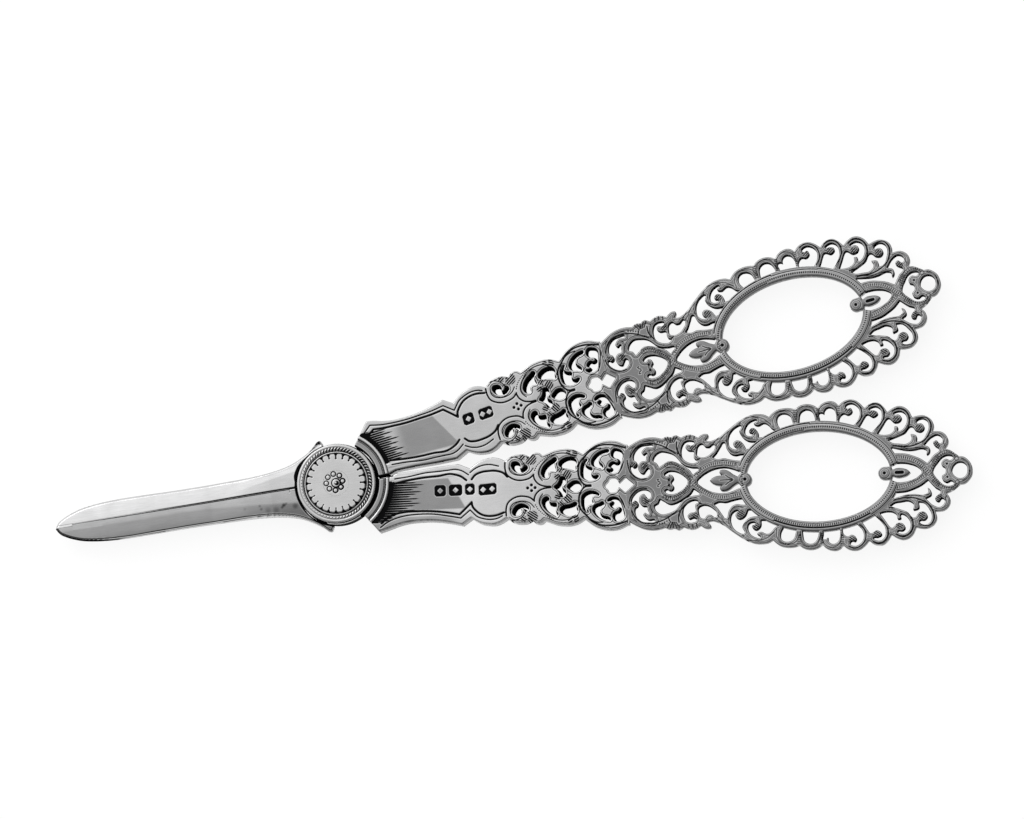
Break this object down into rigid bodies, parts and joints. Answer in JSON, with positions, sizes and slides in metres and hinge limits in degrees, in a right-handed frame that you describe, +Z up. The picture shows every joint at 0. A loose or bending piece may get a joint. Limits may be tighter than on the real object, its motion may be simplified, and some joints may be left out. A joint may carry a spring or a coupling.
{
  "type": "grape shears",
  "caption": "Silver grape shears: pierced and engraved scissor handles with oval finger rings, and slim pointed blades that cross at a riveted disc joint.",
  "frame": {"origin": "on the pivot's axis, at the flat rear end of the rivet, which is the face the shears rest on", "axes": "+Z up the pivot to the front disc, +X from the pivot towards the handles along the line where the blades part, +Y towards the upper handle"},
  "size_m": [0.1782, 0.0609, 0.006],
  "materials": {
    "polished_silver": "polished silver",
    "satin_silver": "satin silver with darkened engraving",
    "engraved_silver": "engraved silver",
    "edge_steel": "ground steel"
  },
  "bodies": {
    "rear_half": {"rear_joint_plate": "engraved_silver", "rear_rope_ring": "engraved_silver", "rear_dial": "satin_silver", "lower_collar": "polished_silver", "lower_shank": "polished_silver", "lower_bow": "satin_silver", "lower_finger_ring": "satin_silver", "upper_blade": "polished_silver", "upper_cutting_edge": "edge_steel", "pivot_rivet": "polished_silver"},
    "front_half": {"front_joint_plate": "engraved_silver", "front_rope_ring": "engraved_silver", "front_dial": "satin_silver", "upper_collar": "polished_silver", "upper_shank": "polished_silver", "upper_bow": "satin_silver", "upper_finger_ring": "satin_silver", "lower_blade": "polished_silver", "lower_cutting_edge": "edge_steel"}
  },
  "joints": [
    {"name": "pivot", "type": "hinge", "parent": "rear_half", "child": "front_half", "pos_m": [0, 0, 0.003], "axis": [0, 0, 1], "range_deg": [0, 42]}
  ]
}
